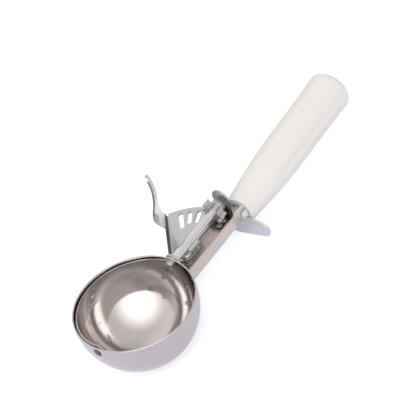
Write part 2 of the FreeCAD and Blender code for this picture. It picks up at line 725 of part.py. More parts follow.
def foot_rivets():
    """Two rivets through the shank's floor, the tang and the bearing's foot."""
    grip = SHANK_WALL + TANG_T + BEARING_FOOT_T
    made = []
    for x in foot_rivet_places():
        one = rivet(grip, RIVET_HEAD_R, RIVET_HEAD_H)
        one.translate(Vector(x, 0, SHANK_BOTTOM))
        made.append(one)
    return Part.makeCompound(made)


def shank_collar():
    """A short band pressed round the channel's end, under the guard."""
    side = SHANK_W / 2
    outer = side + COLLAR_WALL
    bottom = SHANK_BOTTOM - COLLAR_WALL
    x0 = SHANK_END - COLLAR_LENGTH
    band = block(x0, SHANK_END, -outer, outer, bottom, SHANK_BOTTOM + COLLAR_H)
    low = [e for e in band.Edges if is_low_edge(e, bottom)]
    band = band.makeFillet(SHANK_CORNER_R + COLLAR_WALL, low)
    return band.cut(shank_section(0, SHANK_TOP))


def joined_discs(y0, z0, r0, y1, z1, r1):
    """Two discs and the tangent strip between them, as one sheet the guard's thickness thick."""
    gap = math.hypot(y1 - y0, z1 - z0)
    line_turn = math.atan2(z1 - z0, y1 - y0)
    lean = math.acos((r0 - r1) / gap)
    corners = []
    for y, z, r, sign in ((y0, z0, r0, 1), (y1, z1, r1, 1), (y1, z1, r1, -1), (y0, z0, r0, -1)):
        a = line_turn + sign * lean
        corners.append(Vector(SHANK_END, y + r * math.cos(a), z + r * math.sin(a)))
    sheet = closed_lines(corners).extrude(Vector(GUARD_T, 0, 0))
    discs = []
    for y, z, r in ((y0, z0, r0), (y1, z1, r1)):
        discs.append(Part.makeCylinder(r, GUARD_T, Vector(SHANK_END, y, z), X_AXIS))
    return sheet.fuse(discs)


def finger_guard():
    """A plate with two round wings that stands square to the handle, turned towards the lever."""
    low = -GUARD_MID_DROP
    left = joined_discs(0, low, GUARD_MID_R, GUARD_LEFT_REACH, GUARD_LEFT_RISE, GUARD_LEFT_R)
    right = joined_discs(0, low, GUARD_MID_R, -GUARD_RIGHT_REACH, GUARD_RIGHT_RISE, GUARD_RIGHT_R)
    guard = turned(left.fuse(right), GUARD_ROLL, X_AXIS)
    guard.translate(Vector(0, 0, HANDLE_AXIS_Z))
    return guard.cut(tang_bar()).removeSplitter()


def tang_bar():
    end = HANDLE_X + TANG_DEPTH
    start = WEB_X - BEARING_FOOT_L
    return block(start, end, -TANG_W / 2, TANG_W / 2, SHANK_FLOOR, TANG_TOP)


def handle_tang():
    """The flat bar that joins the shank to the handle."""
    holes = [rod_z(RIVET_R, x, SHANK_FLOOR - 1, TANG_TOP + 1) for x in foot_rivet_places()]
    return tang_bar().cut(holes)


def handle_ferrule():
    start = SHANK_END + GUARD_T
    ring = rod_x(FERRULE_R, start, HANDLE_X, HANDLE_AXIS_Z)
    return ring.cut(tang_bar())


def handle_stations():
    """Places along the handle from its base, each with its radius."""
    straight = HANDLE_LENGTH - BUTT_ROUND - BUTT_CROWN
    middle_r = (HANDLE_SHOULDER_R + HANDLE_BODY_R) / 2 + HANDLE_SWELL
    return [(0, HANDLE_BASE_R), (straight * 0.08, HANDLE_BASE_R * 1.09),
            (straight * 0.32, HANDLE_SHOULDER_R), (straight * 0.6, middle_r),
            (straight * 0.82, HANDLE_BODY_R), (straight, HANDLE_BUTT_R)]


def flute(turn):
    """A straight round cutter: its floor lies below the swell, so the flute runs out at the base."""
    stations = handle_stations()
    x0, r0 = stations[2]
    x1, r1 = stations[4]
    start = Vector(x0, 0, r0 - FLUTE_DEPTH + FLUTE_R)
    run = Vector(x1, 0, r1 - FLUTE_DEPTH + FLUTE_R) - start
    cutter = Part.makeCylinder(FLUTE_R, 3 * run.Length, start - run, run)
    return turned(cutter, turn, X_AXIS)


def handle_grip():
    """The moulded grip: a swelling fluted body with a crowned butt, bored for the tang."""
    stations = handle_stations()
    body_end, butt_r = stations[-1]
    swell = Part.BSplineCurve()
    swell.interpolate([Vector(x, 0, r) for x, r in stations])
    half = math.sqrt(0.5)
    inner = butt_r - BUTT_ROUND
    round_end = Vector(body_end + BUTT_ROUND, 0, inner)
    round_mid = Vector(body_end + BUTT_ROUND * half, 0, inner + BUTT_ROUND * half)
    crown_r = cap_radius(inner, BUTT_CROWN)
    crown_turn = math.asin(inner / crown_r) / 2
    crown_x = HANDLE_LENGTH - crown_r * (1 - math.cos(crown_turn))
    crown_mid = Vector(crown_x, 0, crown_r * math.sin(crown_turn))
    profile = face_of(
        line(Vector(-1, 0, 0), Vector(-1, 0, HANDLE_BASE_R)),
        line(Vector(-1, 0, HANDLE_BASE_R), Vector(0, 0, HANDLE_BASE_R)),
        swell.toShape(),
        arc(Vector(body_end, 0, butt_r), round_mid, round_end),
        arc(round_end, crown_mid, Vector(HANDLE_LENGTH, 0, 0)),
        line(Vector(HANDLE_LENGTH, 0, 0), Vector(-1, 0, 0)),
    )
    grip = profile.revolve(ORIGIN, X_AXIS, 360)
    grip = grip.cut([flute(FLUTE_FIRST + 360.0 * k / FLUTES) for k in range(FLUTES)])
    grip = turned(grip, -HANDLE_RISE, Vector(0, 1, 0))
    grip.translate(Vector(HANDLE_X, 0, HANDLE_AXIS_Z))
    reach = 2 * HANDLE_BUTT_R
    behind = block(HANDLE_X - reach, HANDLE_X, -reach, reach, HANDLE_AXIS_Z - reach, HANDLE_AXIS_Z + reach)
    return grip.cut([behind, tang_bar()])


NODES = {
    "bowl": bowl,
    "bowl_rivets": bowl_rivets,
    "shank_channel": shank_channel,
    "front_bush": front_bush,
    "upper_bearing": upper_bearing,
    "foot_rivets": foot_rivets,
    "pivot_post": pivot_post,
    "pivot_washer": pivot_washer,
    "return_spring": return_spring,
    "shank_collar": shank_collar,
    "finger_guard": finger_guard,
    "handle_ferrule": handle_ferrule,
    "handle_tang": handle_tang,
    "handle_grip": handle_grip,
    "thumb_lever": thumb_lever,
    "lever_bush": lever_bush,
    "scraper_blade": scraper_blade,
    "scraper_shaft": scraper_shaft,
    "shaft_eye_washer": lambda: eye_washer(1),
    "tip_eye_washer": lambda: eye_washer(-1),
    "blade_tip_pin": blade_tip_pin,
    "drive_pinion": drive_pinion,
    "pinion_pin": pinion_pin,
    "thrust_washer": thrust_washer,
    "shaft_clip": shaft_clip,
}


def main():
    os.makedirs("parts", exist_ok=True)
    for node, make in NODES.items():
        shape = make()
        if not shape.isValid() or not shape.Solids:
            raise ValueError("this sub-part isn't a sound solid: " + node)
        shape.exportStep("parts/" + node + ".step")
        print(node, len(shape.Solids), round(shape.Volume, 1))


main()
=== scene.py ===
"""Dresses the lever ice cream scoop: softened pressings, the moulded grip, finishes and a pale studio.

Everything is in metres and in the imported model's own frame: the origin is the centre of the bowl's
sphere, +Z points out of the bowl's mouth, +X runs along the shaft and +Y is the lever's side.
"""

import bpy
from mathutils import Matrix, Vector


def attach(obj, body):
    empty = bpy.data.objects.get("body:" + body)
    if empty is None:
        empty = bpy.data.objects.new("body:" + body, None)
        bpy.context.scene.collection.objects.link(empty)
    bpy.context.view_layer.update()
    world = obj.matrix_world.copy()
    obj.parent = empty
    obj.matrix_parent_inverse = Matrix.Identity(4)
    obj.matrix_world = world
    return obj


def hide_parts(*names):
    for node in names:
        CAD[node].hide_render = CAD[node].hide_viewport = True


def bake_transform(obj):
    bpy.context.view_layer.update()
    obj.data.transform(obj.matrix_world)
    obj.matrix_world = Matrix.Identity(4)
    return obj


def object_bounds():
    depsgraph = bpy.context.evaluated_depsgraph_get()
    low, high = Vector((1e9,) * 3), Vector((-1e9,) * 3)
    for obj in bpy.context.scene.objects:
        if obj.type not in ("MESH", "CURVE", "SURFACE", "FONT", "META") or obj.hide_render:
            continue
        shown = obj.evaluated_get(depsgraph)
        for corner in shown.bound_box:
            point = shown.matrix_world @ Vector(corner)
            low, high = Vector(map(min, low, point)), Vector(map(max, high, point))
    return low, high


bl_info = {
    "name": "Lever ice cream scoop",
    "version": (1, 0, 0),
    "blender": (4, 5, 0),
    "location": "3D View > Sidebar > Scoop",
    "description": "Finishes a lever ice cream scoop and sets it in a pale studio",
    "category": "Object",
}

import math

import bmesh
import bpy
from bpy.props import FloatProperty, FloatVectorProperty, PointerProperty
from mathutils import Quaternion, Vector

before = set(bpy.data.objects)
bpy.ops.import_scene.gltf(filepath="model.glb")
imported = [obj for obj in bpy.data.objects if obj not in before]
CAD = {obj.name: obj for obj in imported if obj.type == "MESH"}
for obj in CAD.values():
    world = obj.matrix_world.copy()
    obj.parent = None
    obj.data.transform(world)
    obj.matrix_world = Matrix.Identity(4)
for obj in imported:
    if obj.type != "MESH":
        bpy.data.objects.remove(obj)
CAD_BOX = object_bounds()
MERGE = 1e-6
FLAT_ANGLE = math.radians(0.4)
SHARP_ANGLE = math.radians(38.0)

# The lever's bent edge: a straight line beside the pivot post, and the space its inner side fills; painted
# shade darkens the faces there.
POST_AT = Vector((0.044, 0.0, 0.0))
EDGE_TURN = math.radians(40.8)
EDGE_OUT = Vector((-math.sin(EDGE_TURN), math.cos(EDGE_TURN), 0.0))
EDGE_AT = 0.0088
BEND_REACH = 0.0024
BEND_FOOT = -0.0047
BEND_TOP = -0.0024
BEND_FACING = 0.3

# Heights between which a painted highlight rises on the press tab, and between which it fades back to plain
# steel.
TAB_HIGHLIGHT_RISES = (-0.0035, 0.0005)
TAB_HIGHLIGHT_FADES = (0.0075, 0.0150)

# Places across the guard between which painted shade darkens its plating.
WING_SHADE_SPAN = (0.003, 0.011)

# The channel's inside, where painted light goes: it starts past the bowl, and its faces look toward this
# height.
CHANNEL_START = 0.036
CHANNEL_MIDDLE = -0.010
CHANNEL_FACING = 0.0005
# The inside's share of metal, kept low so that the lamps light it: part of the painted light.
CHANNEL_METAL = 0.15

# Lamps: where each stands from the scoop's middle, and its size.
KEY_FROM_MIDDLE = Vector((-0.55, -0.5, 0.9))
KEY_SIZE = (0.7, 0.7)
FILL_FROM_MIDDLE = Vector((0.5, 0.7, 0.8))
FILL_SIZE = (0.9, 0.6)

# The share of the floor's glow that mirrored light sees.
MIRRORED_GLOW = 0.15

# The tent's tones by height, from below the floor line to straight above.
TENT = (
    (-0.20, (0.36, 0.32, 0.30)),
    (0.12, (0.34, 0.30, 0.27)),
    (0.20, (0.50, 0.46, 0.43)),
    (0.30, (0.90, 0.88, 0.86)),
    (0.50, (0.86, 0.85, 0.85)),
    (1.00, (0.82, 0.81, 0.82)),
)

# What hangs in the tent: a direction, the cosines where it starts and where it is full, and its tone.
SOFT_PANEL = Vector((-0.58, -0.52, 0.63)).normalized()
SOFT_PANEL_EDGE = (0.50, 0.90)
SOFT_PANEL_TONE = 1.15
SIDE_EDGE = (0.15, 0.50)
SIDE_TONE = 0.18
DARK_GAP = Vector((0.76, 0.20, 0.62)).normalized()
DARK_GAP_EDGE = (0.880, 0.970)
DARK_GAP_TONE = 0.85

# These two are only seen by light that was mirrored once already, as inside the bowl.
CAMERA_STAND = Vector((-0.34, -0.49, 0.80)).normalized()
CAMERA_STAND_EDGE = (0.945, 0.978)
CAMERA_STAND_DARK = 0.78
LEFT_CARD = Vector((-0.78, -0.14, 0.61)).normalized()
LEFT_CARD_EDGE = (0.930, 0.978)
LEFT_CARD_TONE = 1.4
MIRRORED_ONCE = (1.4, 1.6)


def colour(name, text, value):
    return FloatVectorProperty(
        name=name, description=text, default=value, min=0, max=1, size=3, subtype="COLOR",
    )


def distance(name, text, value):
    return FloatProperty(
        name=name, description=text, default=value, min=0, unit="LENGTH", subtype="DISTANCE",
    )


def power(name, text, value):
    return FloatProperty(name=name, description=text, default=value, min=0, unit="POWER")


def amount(name, text, value):
    return FloatProperty(name=name, description=text, default=value, min=0)


class ScoopFinishes(bpy.types.PropertyGroup):
    """Colours of the scoop's finishes, and of the painted light and shade laid on some of them."""

    bowl: colour("Bowl", "Mirror polished bowl", (0.58, 0.54, 0.525))
    pressed: colour("Lever", "The pressed lever", (0.54, 0.525, 0.525))
    shank: colour("Shank", "Drawn and polished channel", (0.66, 0.60, 0.53))
    # Painted shade: the dark tone laid over the guard's wing under the first finger.
    wing_shade: colour("Wing shade", "The guard's wing under the first finger", (0.33, 0.315, 0.31))
    # Painted shade: the rivet ends are darker than the bowl round them, standing in for the shading of their
    # dimples.
    rivets: colour("Bowl rivets", "Rivet ends ground flush in the bowl", (0.38, 0.35, 0.335))
    guard: colour("Guard", "Bright plated finger guard", (0.72, 0.725, 0.74))
    blade: colour("Strip", "The scraper strip", (0.50, 0.48, 0.475))
    bright: colour("Shaft", "The drawn shaft", (0.74, 0.735, 0.74))
    cast: colour("Pinion", "Tumbled pinion", (0.50, 0.49, 0.485))
    bearing: colour("Bearing", "Dull bearing bracket", (0.16, 0.155, 0.15))
    plain: colour("Clip", "The clip on the shaft's end", (0.42, 0.41, 0.41))
    # Painted shade: the far pivot pin is made near-black to stand for the dark hole round it.
    pin: colour("Far pivot", "Darkened pin in the bowl's wall", (0.19, 0.18, 0.18))
    # Painted highlight: white laid on the press tab's lower part.
    tab: colour("Press tab", "Bright lower part of the press tab", (1.0, 1.0, 1.0))
    # Painted light: a pale tone for the inside of the shank's channel, standing in for the lit reflection
    # there.
    inside: colour("Channel inside", "Pale inside of the shank's channel", (0.88, 0.80, 0.74))
    # Painted shade: the near-black tone of the bent edge's inner side stands in for shade there.
    bend: colour("Bent edge", "Dull inner side of the lever's bent edge", (0.10, 0.097, 0.10))
    brass: colour("Bushes", "Plain brass", (0.62, 0.47, 0.24))
    ivory: colour("Grip", "Ivory moulded plastic", (0.808, 0.783, 0.737))


class ScoopSizes(bpy.types.PropertyGroup):
    """Sizes of what is modelled here rather than taken from the frame."""

    sheet_edge: distance("Sheet edge", "Rounding of a pressed sheet's edges", 0.00022)
    small_edge: distance("Small edge", "Rounding of small machined edges", 0.00012)
    scratch_scale: amount("Scratches", "How finely the scratches are spaced, per metre", 260.0)


class ScoopStudio(bpy.types.PropertyGroup):
    """Floor, lamps and the camera."""

    floor_size: distance("Floor", "Width of the floor", 6.0)
    floor_tint: colour("Floor colour", "Pale floor", (0.86, 0.87, 0.97))
    floor_glow: amount("Floor glow", "Lifts the floor to white", 0.42)
    key_power: power("Key", "Power of the main soft light", 4.0)
    fill_power: power("Fill", "Power of the fill light", 1.2)
    sky: amount("Sky", "Strength of the even light", 0.62)
    lens: FloatProperty(
        name="Lens", description="Focal length in millimetres", default=166.17, unit="CAMERA",
    )
    camera_place: FloatVectorProperty(
        name="Camera", description="Where the camera stands", default=(-0.4338, -0.58025, 0.69216),
        subtype="TRANSLATION", unit="LENGTH",
    )
    camera_turn: FloatVectorProperty(
        name="Camera turn", description="Turn vector from the scoop's frame to the camera's",
        default=(-0.8657, 0.1564, 1.0079), subtype="DIRECTION",
    )


def finishes():
    return bpy.context.scene.scoop_finishes


def sizes():
    return bpy.context.scene.scoop_sizes


def studio():
    return bpy.context.scene.scoop_studio


class Tree:
    """A material's or world's nodes, with short calls to add and join them."""

    def __init__(self, owner):
        owner.use_nodes = True
        self.nodes = owner.node_tree.nodes
        self.links = owner.node_tree.links

    def add(self, kind, inputs=None, **settings):
        node = self.nodes.new(kind)
        for key, value in settings.items():
            setattr(node, key, value)
        for key, value in (inputs or {}).items():
            self.join(value, node.inputs[key])
        return node

    def join(self, value, socket):
        if isinstance(value, bpy.types.NodeSocket):
            self.links.new(value, socket)
        else:
            socket.default_value = value

    def maths(self, operation, *values):
        node = self.add("ShaderNodeMath", operation=operation)
        for k, value in enumerate(values):
            self.join(value, node.inputs[k])
        return node.outputs[0]

    def dot(self, way, toward):
        node = self.add("ShaderNodeVectorMath", {0: way, 1: toward}, operation="DOT_PRODUCT")
        return node.outputs["Value"]

    def spread(self, value, low, high, from_low=0.0, from_high=1.0):
        names = ("Value", "From Min", "From Max", "To Min", "To Max")
        node = self.add("ShaderNodeMapRange", dict(zip(names, (value, from_low, from_high, low, high))))
        return node.outputs[0]


def new_material(name, base, metallic, roughness):
    """A material whose even values sit on its own shader."""
    material = bpy.data.materials.new(name)
    tree = Tree(material)
    shader = tree.nodes["Principled BSDF"]
    shader.inputs["Base Color"].default_value = (*base, 1)
    shader.inputs["Metallic"].default_value = metallic
    shader.inputs["Roughness"].default_value = roughness
    place = tree.add("ShaderNodeTexCoord").outputs["Object"]
    return material, tree, shader, place


def tinted(tree, shader, base, change, factor):
    """Lets the base colour drift between a darker and a lighter form of itself."""
    mix = tree.add("ShaderNodeMix", data_type="RGBA")
    tree.join(factor, mix.inputs["Factor"])
    mix.inputs["A"].default_value = (*[c * (1 - change) for c in base], 1)
    mix.inputs["B"].default_value = (*[min(1, c * (1 + change)) for c in base], 1)
    tree.links.new(mix.outputs["Result"], shader.inputs["Base Color"])


def stretched_noise(tree, place, stretch, scale, detail=3.0, turn=(0, 0, 0)):
    """Noise drawn out along one way, as brushing and fine scratches are."""
    mapping = tree.add("ShaderNodeMapping", {"Vector": place, "Rotation": turn, "Scale": stretch})
    values = {"Vector": mapping.outputs[0], "Scale": scale, "Detail": detail, "Roughness": 0.6}
    return tree.add("ShaderNodeTexNoise", values).outputs[0]


def ring_noise(tree, place, scale):
    """Noise that only changes with height and with the distance from the bowl's own axis."""
    split = tree.add("ShaderNodeSeparateXYZ", {"Vector": place})
    flat = tree.add("ShaderNodeCombineXYZ", {"X": split.outputs["X"], "Y": split.outputs["Y"]})
    far = tree.add("ShaderNodeVectorMath", {0: flat.outputs[0]}, operation="LENGTH").outputs["Value"]
    both = tree.add("ShaderNodeCombineXYZ", {"X": far, "Y": split.outputs["Z"]})
    values = {"Vector": both.outputs[0], "Scale": scale, "Detail": 4.0, "Roughness": 0.7}
    return tree.add("ShaderNodeTexNoise", values).outputs[0]


def scratches(tree, place, turn):
    """Sparse fine scratches, as a mask that is 1 on a scratch."""
    scale = sizes().scratch_scale
    lines = stretched_noise(tree, place, (0.05, 1.0, 1.0), scale * 5, 2.0, turn)
    values = {"Vector": place, "Scale": scale * 0.3, "Detail": 1.0}
    where = tree.add("ShaderNodeTexNoise", values).outputs[0]
    thin = tree.spread(tree.maths("ABSOLUTE", tree.maths("SUBTRACT", lines, 0.5)), 1.0, 0.0, 0.0, 0.012)
    return tree.maths("MULTIPLY", thin, tree.spread(where, 0.0, 1.0, 0.52, 0.62))


def bumped(tree, shader, height, strength, depth):
    bump = tree.add("ShaderNodeBump", {"Height": height, "Strength": strength, "Distance": depth})
    tree.links.new(bump.outputs[0], shader.inputs["Normal"])


def polished_bowl():
    """Mirror polish with faint rings from the buffing wheel and a few scratches from use."""
    base = finishes().bowl
    material, tree, shader, place = new_material("polished_bowl", base, 1.0, 0.10)
    rings = ring_noise(tree, place, 1500)
    haze = tree.add("ShaderNodeTexNoise", {"Vector": place, "Scale": 38.0, "Detail": 3.0}).outputs[0]
    marks = scratches(tree, place, (0.3, 0.5, 0.9))
    rough = tree.maths("ADD", tree.spread(haze, 0.07, 0.15, 0.3, 0.7), tree.maths("MULTIPLY", marks, 0.16))
    tree.links.new(tree.maths("ADD", rough, tree.spread(rings, -0.02, 0.03)), shader.inputs["Roughness"])
    tinted(tree, shader, base, 0.05, haze)
    relief = tree.maths("SUBTRACT", rings, tree.maths("MULTIPLY", marks, 0.6))
    bumped(tree, shader, relief, 0.05, 0.00002)
    return material


def brushed_steel(name, base, turn, rough, grain, strength):
    """Pressed steel: straight fine brushing, soft blotches of wear and sparse scratches."""
    rough_low, rough_high = rough
    material, tree, shader, place = new_material(name, base, 1.0, rough_low)
    lines = stretched_noise(tree, place, (0.02, 1.0, 1.0), grain, 4.0, turn)
    blotch = tree.add("ShaderNodeTexNoise", {"Vector": place, "Scale": 90.0, "Detail": 4.0}).outputs[0]
    marks = scratches(tree, place, (turn[0], turn[1], turn[2] + 0.7))
    level = tree.spread(lines, rough_low, rough_high, 0.3, 0.7)
    level = tree.maths("ADD", level, tree.spread(blotch, -0.03, 0.05, 0.3, 0.7))
    level = tree.maths("ADD", level, tree.maths("MULTIPLY", marks, 0.15))
    tree.links.new(level, shader.inputs["Roughness"])
    tinted(tree, shader, base, 0.07, tree.maths("MULTIPLY", tree.maths("ADD", lines, blotch), 0.5))
    bumped(tree, shader, lines, strength, 0.00003)
    return material


def turned_steel():
    """Bright drawn bar with faint rings along it."""
    base = finishes().bright
    material, tree, shader, place = new_material("shaft_steel", base, 1.0, 0.16)
    rings = stretched_noise(tree, place, (1.0, 0.02, 0.02), 2600, 3.0)
    rubbed = stretched_noise(tree, place, (0.25, 1.0, 1.0), 320, 3.0)
    rough = tree.spread(tree.maths("ADD", rings, rubbed), 0.10, 0.26, 0.7, 1.3)
    tree.links.new(rough, shader.inputs["Roughness"])
    tinted(tree, shader, base, 0.06, rubbed)
    bumped(tree, shader, rings, 0.12, 0.00002)
    return material


def tumbled_steel():
    """Cast and tumbled steel: a fine grain with darker hollows."""
    base = finishes().cast
    material, tree, shader, place = new_material("pinion_steel", base, 1.0, 0.3)
    grain = tree.add("ShaderNodeTexNoise", {"Vector": place, "Scale": 1500.0, "Detail": 4.0}).outputs[0]
    pits = tree.add("ShaderNodeTexVoronoi", {"Vector": place, "Scale": 900.0}).outputs["Distance"]
    tree.links.new(tree.spread(grain, 0.22, 0.42, 0.3, 0.7), shader.inputs["Roughness"])
    tinted(tree, shader, base, 0.12, tree.spread(pits, 0.0, 1.0, 0.05, 0.5))
    bumped(tree, shader, tree.maths("ADD", grain, pits), 0.15, 0.00004)
    return material


def plain_steel(name, base):
    """Small plain parts: drawn wire, rivets and washers, slightly dull."""
    material, tree, shader, place = new_material(name, base, 1.0, 0.28)
    grain = tree.add("ShaderNodeTexNoise", {"Vector": place, "Scale": 1100.0, "Detail": 3.0}).outputs[0]
    dull = tree.add("ShaderNodeTexNoise", {"Vector": place, "Scale": 260.0, "Detail": 2.0}).outputs[0]
    tree.links.new(tree.spread(dull, 0.2, 0.38, 0.3, 0.7), shader.inputs["Roughness"])
    tinted(tree, shader, base, 0.1, dull)
    bumped(tree, shader, grain, 0.12, 0.00003)
    return material


def plain_brass():
    """Turned brass, a little tarnished in patches."""
    base = finishes().brass
    material, tree, shader, place = new_material("brass_bush", base, 1.0, 0.3)
    rings = stretched_noise(tree, place, (1.0, 0.05, 0.05), 2200, 2.0)
    tarnish = tree.add("ShaderNodeTexNoise", {"Vector": place, "Scale": 420.0, "Detail": 3.0}).outputs[0]
    tree.links.new(tree.spread(tarnish, 0.22, 0.42, 0.3, 0.7), shader.inputs["Roughness"])
    tinted(tree, shader, base, 0.14, tarnish)
    bumped(tree, shader, rings, 0.12, 0.00003)
    return material


def ivory_plastic():
    """Moulded ivory plastic: a soft gloss, faint flow marks and fine handling scratches."""
    base = finishes().ivory
    material, tree, shader, place = new_material("ivory_grip", base, 0.0, 0.34)
    shader.inputs["Coat Weight"].default_value = 0.12
    shader.inputs["Coat Roughness"].default_value = 0.22
    shader.inputs["Subsurface Weight"].default_value = 0.12
    shader.inputs["Subsurface Radius"].default_value = (0.0022, 0.0018, 0.0012)
    flow = stretched_noise(tree, place, (0.35, 1.0, 1.0), 55, 3.0)
    skin = tree.add("ShaderNodeTexNoise", {"Vector": place, "Scale": 1600.0, "Detail": 2.0}).outputs[0]
    marks = scratches(tree, place, (0.1, 0.2, 0.4))
    rough = tree.maths("ADD", tree.spread(flow, 0.28, 0.42, 0.3, 0.7), tree.maths("MULTIPLY", marks, 0.12))
    tree.links.new(rough, shader.inputs["Roughness"])
    tinted(tree, shader, base, 0.02, flow)
    bumped(tree, shader, tree.maths("SUBTRACT", skin, marks), 0.10, 0.00003)
    return material


def packed_finish(slot_name):
    """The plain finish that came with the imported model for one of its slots."""
    return bpy.data.materials[slot_name]


def finish_node(node, material):
    """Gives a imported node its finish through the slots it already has."""
    for slot in CAD[node].material_slots:
        slot.material = material


def settle(bm, name, material, body, slot_name, *nodes):
    """Turns a finished bmesh into a piece that stands for its nodes and rides on its body, if any."""
    mesh = bpy.data.meshes.new(name)
    bm.to_mesh(mesh)
    bm.free()
    mesh.materials.append(material)
    mesh.shade_smooth()
    piece = bpy.data.objects.new(name, mesh)
    bpy.context.scene.collection.objects.link(piece)
    if body:
        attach(piece, body)
    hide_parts(*nodes)
    return piece


def softened(node, name, material, body, slot_name, width):
    """A merged copy of a packed sheet or block whose sharp edges are rounded a little."""
    bm = bmesh.new()
    bm.from_mesh(CAD[node].data)
    bmesh.ops.remove_doubles(bm, verts=bm.verts, dist=MERGE)
    bmesh.ops.dissolve_limit(bm, angle_limit=FLAT_ANGLE, verts=bm.verts, edges=bm.edges)
    sharp = [e for e in bm.edges if len(e.link_faces) == 2 and e.calc_face_angle() > SHARP_ANGLE]
    bmesh.ops.bevel(
        bm, geom=sharp, offset=width, offset_type="OFFSET", affect="EDGES", segments=2, profile=0.5,
        material=-1, clamp_overlap=True,
    )
    piece = settle(bm, name, material, body, slot_name, node)
    weights = piece.modifiers.new("even_normals", "WEIGHTED_NORMAL")
    weights.keep_sharp = True
    weights.weight = 80
    return piece


def toned(tree, factor, tone):
    """Lays a tone over a material's own base colour, as far as the factor says."""
    base = tree.nodes["Principled BSDF"].inputs["Base Color"]
    mix = tree.add("ShaderNodeMix", data_type="RGBA")
    tree.links.new(factor, mix.inputs["Factor"])
    tree.links.new(base.links[0].from_socket, mix.inputs["A"])
    mix.inputs["B"].default_value = (*tone, 1)
    tree.links.new(mix.outputs["Result"], base)


def lever_steel():
    """The lever's pressed steel, with a painted highlight where the press tab leaves the bent edge."""
    base = finishes().pressed
    material = brushed_steel("lever_steel", base, (0, 0, 0), rough=(0.14, 0.24), grain=900, strength=0.10)
    tree = Tree(material)
    place = tree.add("ShaderNodeTexCoord").outputs["Object"]
    height = tree.add("ShaderNodeSeparateXYZ", {"Vector": place}).outputs["Z"]
    up = tree.spread(height, 0.0, 1.0, *TAB_HIGHLIGHT_RISES)
    down = tree.spread(height, 1.0, 0.0, *TAB_HIGHLIGHT_FADES)
    # Painted highlight: a band of the tab is mixed toward white.
    toned(tree, tree.maths("MULTIPLY", up, down), finishes().tab)
    return material


def guard_plating():
    """Bright plating, with painted shade on the wing under the first finger."""
    base = finishes().guard
    material = brushed_steel("plated_guard", base, (0, 0.4, 0), rough=(0.12, 0.22), grain=900, strength=0.08)
    tree = Tree(material)
    place = tree.add("ShaderNodeTexCoord").outputs["Object"]
    across = tree.add("ShaderNodeSeparateXYZ", {"Vector": place}).outputs["Y"]
    # Painted shade: the plating darkens toward the wing under the first finger.
    toned(tree, tree.spread(across, 0.0, 1.0, *WING_SHADE_SPAN), finishes().wing_shade)
    return material


def channel_steel():
    """The dull inside of the drawn shank, made pale and less metallic as painted light."""
    base = finishes().inside
    material = brushed_steel("channel_inside", base, (0, 0, 0), rough=(0.35, 0.50), grain=900, strength=0.08)
    material.node_tree.nodes["Principled BSDF"].inputs["Metallic"].default_value = CHANNEL_METAL
    return material


def refinished(piece, material, chosen):
    """Gives the faces of a piece that are chosen by centre and normal a second material; here it carries
    painted shade on the lever's bent edge and painted light inside the channel.
    """
    piece.data.materials.append(material)
    for face in piece.data.polygons:
        if chosen(face.center, face.normal):
            face.material_index = 1


def in_bend(centre, normal):
    """Says whether a face lies on the top or the inner side of the lever's bent edge, where painted shade is
    laid.
    """
    across = (centre - POST_AT).dot(EDGE_OUT) - EDGE_AT
    inner = normal.dot(EDGE_OUT) < BEND_FACING and abs(across) < BEND_REACH
    return inner and BEND_FOOT < centre.z < BEND_TOP


def in_channel(centre, normal):
    """Says whether a face lies inside the shank's channel."""
    toward = Vector((0, -centre.y, CHANNEL_MIDDLE - centre.z))
    return centre.x > CHANNEL_START and toward.dot(normal) > CHANNEL_FACING


def wound_spring():
    """The return spring as one merged, smooth-shaded piece, fixed where it stands."""
    bm = bmesh.new()
    bm.from_mesh(CAD["return_spring"].data)
    bmesh.ops.remove_doubles(bm, verts=bm.verts, dist=MERGE)
    wire = packed_finish("spring_wire")
    piece = settle(bm, "wound_spring", wire, None, "spring_wire", "return_spring")
    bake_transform(piece)


class SCOOP_OT_bowl(bpy.types.Operator):
    """Polishes the bowl and finishes the rivets that hold it"""

    bl_idname = "scoop.bowl"
    bl_label = "Bowl"

    def execute(self, context):
        finish_node("bowl", polished_bowl())
        # The rivet ends' darker tone is painted shade.
        finish_node("bowl_rivets", plain_steel("polished_rivets", finishes().rivets))
        return {"FINISHED"}


class SCOOP_OT_scraper(bpy.types.Operator):
    """Finishes the scraper strip and its far pivot; its washers keep their packed finish"""

    bl_idname = "scoop.scraper"
    bl_label = "Scraper strip"

    def execute(self, context):
        steel = brushed_steel(
            "blade_steel", finishes().blade, (0, 0.6, 0), rough=(0.14, 0.26), grain=1300, strength=0.12,
        )
        finish_node("scraper_blade", steel)
        # Painted shade: the tip pin's near-black steel stands for the dark hole it sits in.
        finish_node("blade_tip_pin", plain_steel("dark_pin", finishes().pin))
        return {"FINISHED"}


class SCOOP_OT_drive(bpy.types.Operator):
    """Rounds the pinion and the bearing, and finishes the shaft, its clip and the lever's bush"""

    bl_idname = "scoop.drive"
    bl_label = "Shaft and pinion"

    def execute(self, context):
        cast = tumbled_steel()
        edge = sizes().small_edge
        bearing = brushed_steel(
            "bearing_steel", finishes().bearing, (0, 0, 1.57), rough=(0.24, 0.36), grain=1100, strength=0.12,
        )
        finish_node("scraper_shaft", turned_steel())
        softened("drive_pinion", "pinion_with_soft_teeth", cast, "scraper", "pinion_steel", edge)
        softened("upper_bearing", "bearing_bracket", bearing, "shank", "bearing_steel", edge * 1.5)
        finish_node("shaft_clip", plain_steel("spring_wire", finishes().plain))
        finish_node("lever_bush", plain_brass())
        return {"FINISHED"}


